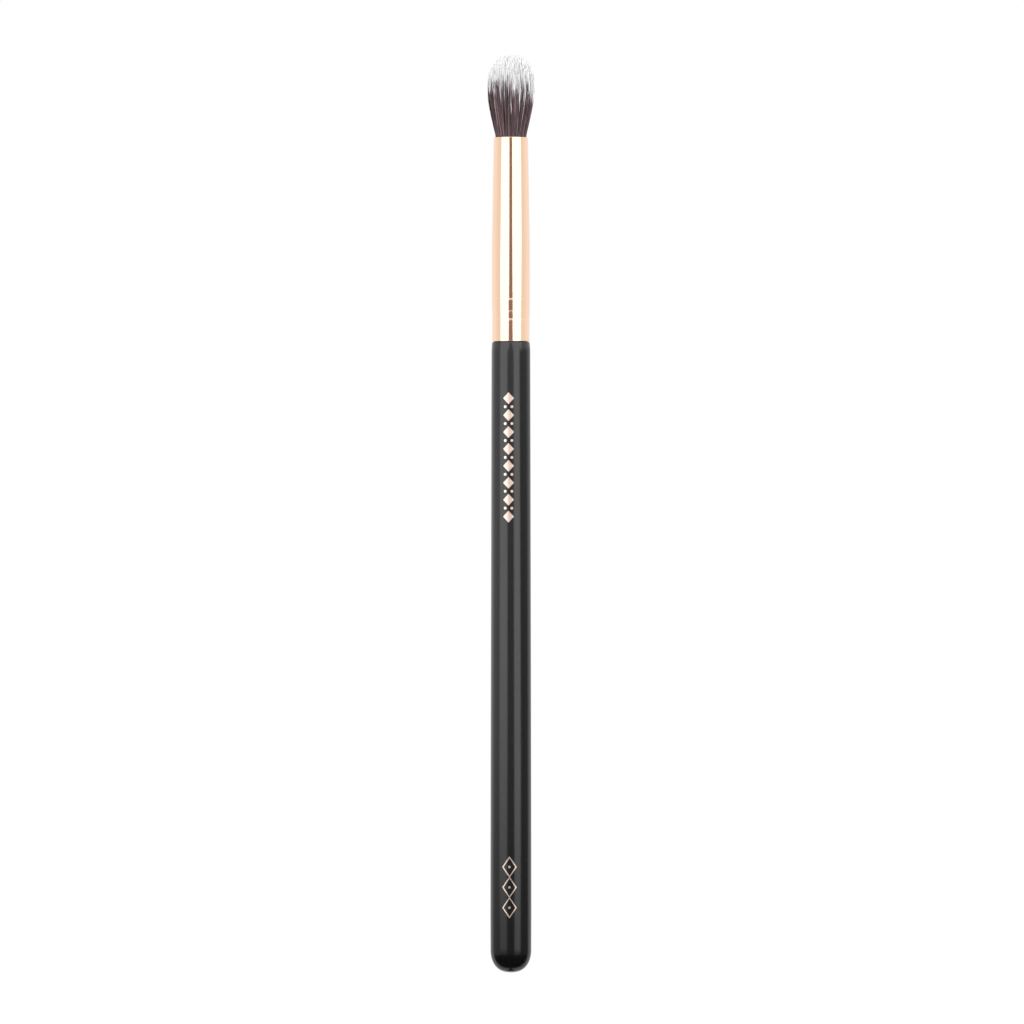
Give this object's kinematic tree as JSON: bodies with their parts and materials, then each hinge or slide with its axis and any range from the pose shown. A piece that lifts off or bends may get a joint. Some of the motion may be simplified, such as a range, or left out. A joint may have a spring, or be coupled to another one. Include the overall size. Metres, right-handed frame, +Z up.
{
  "type": "blending brush",
  "caption": "Slim make-up brush with a domed two-tone bristle tuft, a crimped rose-gold ferrule and a tapering black lacquered wooden handle.",
  "frame": {"origin": "lowest point of the handle's rounded butt, on the brush's axis", "axes": "+Z runs up the brush's axis from the butt to the bristle tips; the brush is round about it, and the picture looks along +Y with +X to the right"},
  "size_m": [0.0089, 0.0088, 0.1699],
  "materials": {
    "handle_lacquer": "satin black lacquer",
    "ferrule_metal": "polished rose-gold plating",
    "adhesive": "set adhesive",
    "bristle": "fine synthetic filament, dark base and white tips",
    "thread": "waxed thread",
    "resin": "clear amber resin"
  },
  "bodies": {
    "root": {"handle": "handle_lacquer", "ferrule": "ferrule_metal", "tenon_adhesive": "adhesive", "bristle_tuft": "bristle", "binding_thread": "thread", "resin_plug": "resin"}
  },
  "joints": []
}
